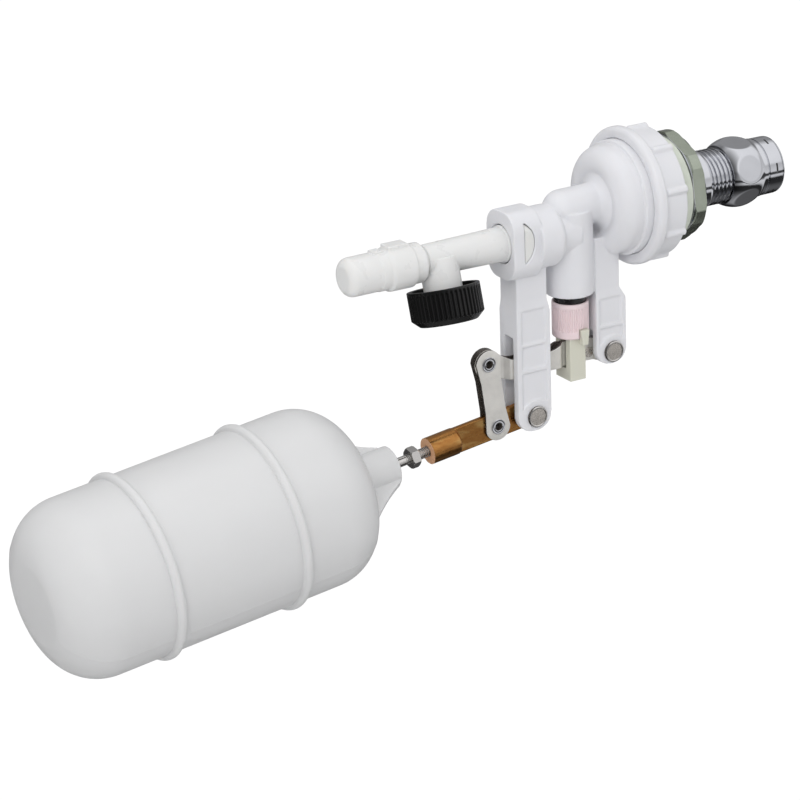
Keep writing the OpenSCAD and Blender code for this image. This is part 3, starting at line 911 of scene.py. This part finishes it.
# stretches of X where a lever plate bends: out beside the link, in and out round the stem
LINK_BEND = (-72.2, -69.6)
STEM_BENDS = ((-48.4, -46.0), (-33.4, -31.2))
JOGGLE = 1.58


def joggle(x):
    """How far the front lever plate stands out from the mid plane at x."""
    past_link = smooth(x, *LINK_BEND)
    at_stem = smooth(x, *STEM_BENDS[0]) * (1 - smooth(x, *STEM_BENDS[1]))
    return -0.02 - JOGGLE * past_link * (1 - at_stem)


def lever_plate(side):
    """One lever plate: side is -1 at the front and 1 at the back."""
    holes = [(LEVER_PIVOT, 2.55), (LINK_HIGH, 2.5), (LEVER_RIVET, 1.2)]
    bm = plate(LEVER_EDGE, holes, 0.14)
    bends = (LINK_BEND, *STEM_BENDS)
    slices(bm, [a + (b - a) * k / 10 for a, b in bends for k in range(11)])
    for v in bm.verts:
        v.co.y += joggle(v.co.x)
    if side > 0:
        flip_back(bm)
    return bm


LINK_WAIST = 4.3
LINK_WAIST_FROM = 6.5
LINK_Y = -1.15


def link_plate(side):
    """One waisted link plate: side is -1 at the front and 1 at the back."""
    lean = (LINK_HIGH - LINK_LOW).normalized()
    across = Vector((lean.z, 0, -lean.x)) * LINK_WAIST
    tilt = math.degrees(math.atan2(lean.z, lean.x))
    top, bottom = LINK_HIGH - lean * LINK_WAIST_FROM, LINK_LOW + lean * LINK_WAIST_FROM
    edge = circle(LINK_HIGH, LINK_END_R, tilt - 78, tilt + 78, 30)
    edge += [(spot.x, spot.z) for spot in (top - across, bottom - across)]
    edge += circle(LINK_LOW, LINK_END_R, tilt + 102, tilt + 258, 30)
    edge += [(spot.x, spot.z) for spot in (bottom + across, top + across)]
    bm = plate(edge, [(LINK_HIGH, 2.0), (LINK_LOW, 2.0)], 0.18)
    for v in bm.verts:
        v.co.y += LINK_Y
    if side > 0:
        flip_back(bm)
    return bm


def on_edge(spot, normal):
    """The sheared edges of a plate."""
    return abs(normal.y) < 0.5


def on_edge_or_inside(spot, normal):
    """On a back plate, the edges and the inner face."""
    return normal.y < 0.5


# every plate's edges, and the back plates' inner faces, get painted shade
for make, kind in ((lever_plate, "lever"), (link_plate, "link")):
    for side, word, dark in ((-1, "front", on_edge), (1, "back", on_edge_or_inside)):
        name, node = f"{kind}_{word}_stamping", f"{kind}_plate_{word}"
        repaint(publish(make(side), name, node, None, 30), PAINTED_SHADE_STEEL, dark)


def joined(parts):
    """Several forms as one."""
    out = bmesh.new()
    for part in parts:
        mesh = bpy.data.meshes.new("part")
        part.to_mesh(mesh)
        part.free()
        out.from_mesh(mesh)
        bpy.data.meshes.remove(mesh)
    return out


def pin_axis(at):
    return Axis(at, FRONT, (1, 0, 0))


def off_axis(spot, at):
    """Distance from the pin's axis through at."""
    return math.hypot(spot.x - at.x, spot.z - at.z)


def eyelet(at):
    """A hollow rivet with rolled rims at both sides."""
    loop = rounded(
        [
            (-2.62, 1.3, 0.45),
            (-2.62, 2.85, 0.4),
            (-2.15, 2.85, 0.1),
            (-2.15, 1.99, 0.05),
            (2.15, 1.99, 0.05),
            (2.15, 2.85, 0.1),
            (2.62, 2.85, 0.4),
            (2.62, 1.3, 0.45),
        ]
    )
    return turned(loop, pin_axis(at), 64)


rivets = publish(
    joined([eyelet(LINK_LOW), eyelet(LINK_HIGH)]), "eyelets", "link_rivets", EYELET_PLATE, 40
)


def in_eyelet(spot, normal):
    return min(off_axis(spot, LINK_LOW), off_axis(spot, LINK_HIGH)) < 1.5


# the eyelets' bores get painted shade
repaint(rivets, PAINTED_BORE_SHADE, in_eyelet)

small_rivet = rounded(
    [
        (-1.5, 0, 0),
        (-1.5, 1.85, 0.4),
        (-1.03, 1.85, 0.05),
        (-1.03, 1.19, 0.05),
        (1.03, 1.19, 0.05),
        (1.03, 1.85, 0.05),
        (1.5, 1.85, 0.4),
        (1.5, 0, 0),
    ]
)
publish(
    turned(small_rivet, pin_axis(LEVER_RIVET), 48),
    "lever_rivet_head",
    "lever_rivet",
    TURNED,
    40,
)

PIN_R = 2.48
PIN_HEAD_R = 4.04
PIN_DISH_R = 3.2


def headed_pin(at, name, node):
    """A pivot pin with a low dished head, bright on its rim, with painted shade round its side.
    """
    loop = rounded(
        [
            (-6.8, 0, 0),
            (-6.8, PIN_R, 0.3),
            (6.0, PIN_R, 0.05),
            (6.0, PIN_HEAD_R, 0.05),
            (6.55, PIN_HEAD_R, 0.1),
            (6.9, 3.72, 0.08),
            (6.9, 3.45, 0.08),
            (6.72, PIN_DISH_R, 0.1),
            (6.72, 0, 0),
        ]
    )
    pin = publish(turned(loop, pin_axis(at), 96), name, node, TURNED, 40)
    repaint(pin, ROD_STEEL, lambda spot, normal: off_axis(spot, at) > PIN_DISH_R)
    # a ring of painted shade round the side of the head
    repaint(pin, PAINTED_SHADE_STEEL, lambda spot, normal: off_axis(spot, at) > PIN_HEAD_R - 0.14)


headed_pin(ARM_PIVOT, "arm_pin_head", "arm_pin")
headed_pin(LEVER_PIVOT, "lever_pin_head", "lever_pin")

# ---------------------------------------------------------------- float arm

SAWN_END = 43


def on_sawn_end(spot, normal):
    return normal.dot(ARM_AXIS) > 0.8 and (spot - ARM_PIVOT).dot(ARM_AXIS) > SAWN_END


brass_form = melted(cad_bmesh("brass_arm"), 0.12, 3, 0.5)
repaint(publish(brass_form, "brass_bar", "brass_arm", None), CUT_BRASS, on_sawn_end)

ROD_PITCH = 0.7
ROD_THREAD_DEPTH = 0.26


def rod_shape(x, r, angle):
    """Thread where the rod enters the bar and the float, smooth in between."""
    if r <= 1.5:
        return r
    cut = 1 - smooth(x, 53.2, 53.8) + smooth(x, 57.6, 58.2)
    wave = 0.5 + 0.5 * math.cos(2 * math.pi * x / ROD_PITCH - angle)
    return r - ROD_THREAD_DEPTH * (1 - smooth(wave, 0.1, 0.9)) * cut


rod_loop = [(33.6, 0), (33.6, 1.7)]
rod_loop += [(33.8 + 19.2 * k / 190, 1.97) for k in range(191)]
rod_loop += [(53.3 + 22.5 * k / 160, 1.84) for k in range(161)]
rod_loop.append((75.9, 0))
publish(turned(rod_loop, ARM, 48, rod_shape), "rod_steel", "float_rod", ROD_STEEL)

ROD_NUT_ACROSS = 7
rod_nut_loop = rounded(
    [
        (48.82, 1.99, 0.05),
        (48.82, 3.7, 0.1),
        (49.3, 4.08, 0.1),
        (51.5, 4.08, 0.1),
        (51.98, 3.7, 0.1),
        (51.98, 1.99, 0.05),
    ]
)
publish(
    turned(
        finer(rod_nut_loop, 0.2), ARM, 360, flats(ROD_NUT_ACROSS, math.radians(-40), 0.08)
    ),
    "rod_nut_steel",
    "float_lock_nut",
    ROD_STEEL,
    35,
)

# The float has domed ends with round shoulders, two ribs, a neck and two webs. Every x
# along it is a distance from the arm pivot.
FLOAT_R = 33.1
RIB_R = 1.8
RIBS_AT = (114.8, 165.9)
NEAR_END, FAR_END = 74.3, 205.9
# where each end's round shoulder starts, and the shoulder's radius
NEAR_AT, NEAR_R = 95.6, 18.6
FAR_AT, FAR_R = 185.8, 20.0
END_ROWS = 60
SEAM_AT = math.radians(-32)
SEAM_HEIGHT = 0.2
SEAM_HALF = 0.4
NECK_R = 7.6
NECK_END = 60
WEB_HALF = 1.5
WEB_FAR = 84


def bow(x, centre, r):
    """Radius at x of a ball on the axis, or 0 past its end."""
    return math.sqrt(max(r**2 - (x - centre) ** 2, 0))


def shoulder(x, centre, r):
    """Radius at x of the round edge between the wall and an end's dome."""
    return FLOAT_R - r + bow(x, centre, r) if abs(x - centre) < r else 0


def float_radius(x):
    """Outer radius of the float body."""
    if x < NEAR_AT:
        return max(min(bow(x, 114.5, 40.2), 23.5), shoulder(x, NEAR_AT, NEAR_R))
    if x > FAR_AT:
        return max(min(bow(x, 126.6, 79.3), 20.5), shoulder(x, FAR_AT, FAR_R))
    r = FLOAT_R
    for rib in RIBS_AT:
        if abs(x - rib) < RIB_R:
            r = soft_max(r, FLOAT_R + 0.1 + bow(x, rib, RIB_R), 0.5)
    return r


def float_places():
    """Where the float's outline is sampled: close together at the ends and ribs."""
    out = [FAR_END]
    for k in range(1, END_ROWS + 1):
        out.append(FAR_END - (FAR_END - FAR_AT) * (k / END_ROWS) ** 1.6)
    x = 185.0
    while x > NEAR_AT + 0.9:
        out.append(x)
        x -= 0.15 if min(abs(x - rib) for rib in RIBS_AT) < RIB_R + 0.8 else 1.5
    for k in range(END_ROWS, 0, -1):
        out.append(NEAR_END + (NEAR_AT - NEAR_END) * (k / END_ROWS) ** 1.6)
    return out


float_loop = [(FAR_END, 0)]
float_loop += [(x, max(float_radius(x), 0.01)) for x in float_places() if x > 75.4]
float_loop += [(75.2, 7.7), (74.6, 7.62)]
float_loop += [(74.0 - 14.0 * k / 40, NECK_R) for k in range(41)]
# the neck's mouth and the blind hole for the rod
float_loop += [(59.6, 7.5), (59.35, 7.1), (59.3, 6.8), (59.3, 2.2)]
float_loop += [(59.6, 1.86), (70, 1.86), (70, 0)]


def float_shape(x, r, angle):
    """Adds the mould line and, at the neck, the webs that lie in its plane."""
    off = nearest(angle, SEAM_AT, 2)
    if r > 7 and x > 74.5:
        r += SEAM_HEIGHT * math.exp(-((off * r / SEAM_HALF) ** 2))
    if r < 7 or x > WEB_FAR or x < NECK_END:
        return r
    past = x - NECK_END
    # the web's outline flares towards the float
    reach = 8.2 + past * 0.45 + 0.012 * past**2
    web = min(reach, WEB_HALF / max(abs(math.sin(off)), 0.02))
    return soft_max(r, web * smooth(x, NECK_END - 0.2, NECK_END + 0.6), 0.7)


publish(
    turned(float_loop, ARM, 360, float_shape), "float_blow_moulding", "float_shell", None, 50
)

# the hidden pieces keep their CAD shape
for node in (
    "valve_seat",
    "body_seal",
    "coupling_washer",
    "inlet_strainer",
    "spout_oring",
    "plug_seal",
    "outlet_seal",
    "valve_disc",
):
    mesh = frame["nodes"][node].data
    mesh.materials.clear()
    mesh.materials.append(MATERIALS[SLOT_OF[node]])

# ---------------------------------------------------------------- floor, light, camera
# In metres.

# brightness of the white floor and surroundings as the camera sees them
BACKDROP = 1.05


def floor_paint():
    """Matt white paint that the camera itself sees as a plain white sweep."""
    p = Paint("floor_paint")
    p.colour(p.blend(p.noise(0.4, detail=2), (0.78, 0.78, 0.78), (0.80, 0.80, 0.80)))
    p.fixed(Roughness=0.9)
    glow = p.tree.nodes.new("ShaderNodeEmission")
    glow.inputs["Strength"].default_value = BACKDROP
    path = p.tree.nodes.new("ShaderNodeLightPath")
    mix = p.tree.nodes.new("ShaderNodeMixShader")
    p.link(path.outputs["Is Camera Ray"], mix.inputs["Fac"])
    p.link(p.shader.outputs["BSDF"], mix.inputs[1])
    p.link(glow.outputs["Emission"], mix.inputs[2])
    p.link(mix.outputs["Shader"], p.tree.nodes["Material Output"].inputs["Surface"])
    return p.mat


FLOOR_Z = -0.24
FLOOR_HALF = 6.0
corners = [
    (sx * FLOOR_HALF, sy * FLOOR_HALF, FLOOR_Z)
    for sx, sy in ((-1, -1), (1, -1), (1, 1), (-1, 1))
]
floor_mesh = bpy.data.meshes.new("floor")
floor_mesh.from_pydata(corners, [], [(0, 1, 2, 3)])
floor_mesh.materials.append(floor_paint())
floor = placed("floor", floor_mesh)
floor.visible_glossy = False

MIDDLE = Vector((-0.11, 0, -0.06))


def softbox(name, at, size, power):
    """A soft rectangular light aimed at the part. Reflections don't show it."""
    data = bpy.data.lights.new(name, "AREA")
    data.shape = "RECTANGLE"
    data.size, data.size_y = size
    data.energy = power
    obj = placed(name, data)
    obj.location = at
    obj.rotation_mode = "QUATERNION"
    obj.rotation_quaternion = (MIDDLE - Vector(at)).to_track_quat("-Z", "Y")
    obj.visible_glossy = False


softbox("key_light", (-0.75, -0.85, 0.95), (0.9, 0.9), 7.6)
softbox("fill_light", (0.9, -1.0, 0.35), (0.7, 0.9), 1.8)
softbox("left_light", (-1.4, -0.6, 0.05), (0.7, 0.7), 2.5)
softbox("top_light", (-0.1, 0.35, 1.2), (1.4, 1.0), 4.5)

# brightness of the reflected studio, from straight down (0) to straight up (1); the first
# two rows are the ends
REFLECTED = (
    (0.0, 0.34),
    (1.0, 0.9),
    (0.07, 0.14),
    (0.13, 0.03),
    (0.24, 0.02),
    (0.27, 0.6),
    (0.31, 0.75),
    (0.335, 0.06),
    (0.385, 0.04),
    (0.41, 0.72),
    (0.6, 0.56),
    (0.66, 0.85),
    (0.8, 0.9),
)


def studio_world():
    """Even white light. Reflections see bands of white screen and dark cloth instead."""
    world = bpy.data.worlds.new("studio")
    world.use_nodes = True
    tree = world.node_tree
    tree.nodes.remove(tree.nodes["Background"])
    link = tree.links.new

    def background(strength):
        node = tree.nodes.new("ShaderNodeBackground")
        node.inputs["Color"].default_value = (1, 1, 1, 1)
        node.inputs["Strength"].default_value = strength
        return node

    def pick(fac, a, b):
        node = tree.nodes.new("ShaderNodeMixShader")
        for value, socket in zip((fac, a, b), node.inputs):
            link(value, socket)
        return node.outputs[0]

    where = tree.nodes.new("ShaderNodeTexCoord")
    split = tree.nodes.new("ShaderNodeSeparateXYZ")
    link(where.outputs["Generated"], split.inputs[0])
    bands = tree.nodes.new("ShaderNodeValToRGB")
    link(map_range(tree, split.outputs["Z"], -1, 1, 0, 1), bands.inputs["Fac"])
    ramp = bands.color_ramp
    for i, (at, level) in enumerate(REFLECTED):
        stop = ramp.elements[i] if i < 2 else ramp.elements.new(at)
        stop.position = at
        stop.color = (level, level, level * 1.02, 1)
    # the bands are dimmer behind the part and nearly dark past its float end
    behind = map_range(tree, split.outputs["Y"], 0.25, 0.55, 1, 0.32)
    sideways = map_range(tree, split.outputs["X"], -0.5, 0.1, 0.1, 1)
    dimmed = tree.nodes.new("ShaderNodeMath")
    dimmed.operation = "MULTIPLY"
    link(behind, dimmed.inputs[0])
    link(sideways, dimmed.inputs[1])
    mirror = background(1)
    link(bands.outputs["Color"], mirror.inputs["Color"])
    link(map_range(tree, dimmed.outputs[0], 0, 1, 0.04, 1), mirror.inputs["Strength"])
    path = tree.nodes.new("ShaderNodeLightPath")
    plain, sky = background(0.6), background(BACKDROP)
    lit = pick(path.outputs["Is Glossy Ray"], plain.outputs[0], mirror.outputs[0])
    seen = pick(path.outputs["Is Camera Ray"], lit, sky.outputs[0])
    link(seen, tree.nodes["World Output"].inputs["Surface"])
    return world


bpy.context.scene.world = studio_world()
bpy.context.scene.view_settings.view_transform = "Standard"

CAMERA_AZIMUTH = math.radians(-30.6)
CAMERA_HEIGHT = math.radians(20.35)
CAMERA_ROLL = math.radians(1.77)
CAMERA_DISTANCE = 1.6
CAMERA_LENS = 200.7
CAMERA_TARGET = Vector((-0.1153, 0, -0.0584))
back = Vector(
    (
        math.sin(CAMERA_AZIMUTH) * math.cos(CAMERA_HEIGHT),
        -math.cos(CAMERA_AZIMUTH) * math.cos(CAMERA_HEIGHT),
        math.sin(CAMERA_HEIGHT),
    )
)
right = Vector((math.cos(CAMERA_AZIMUTH), math.sin(CAMERA_AZIMUTH), 0))
up = back.cross(right)
side = right * math.cos(CAMERA_ROLL) - up * math.sin(CAMERA_ROLL)
top = right * math.sin(CAMERA_ROLL) + up * math.cos(CAMERA_ROLL)
camera_data = bpy.data.cameras.new("camera")
camera_data.lens = CAMERA_LENS
camera_data.sensor_width = 36
camera_data.clip_end = 30
camera = placed("camera", camera_data)
camera.matrix_world = Matrix.Translation(CAMERA_TARGET + back * CAMERA_DISTANCE) @ (
    Matrix((side, top, back)).transposed().to_4x4()
)
bpy.context.scene.camera = camera
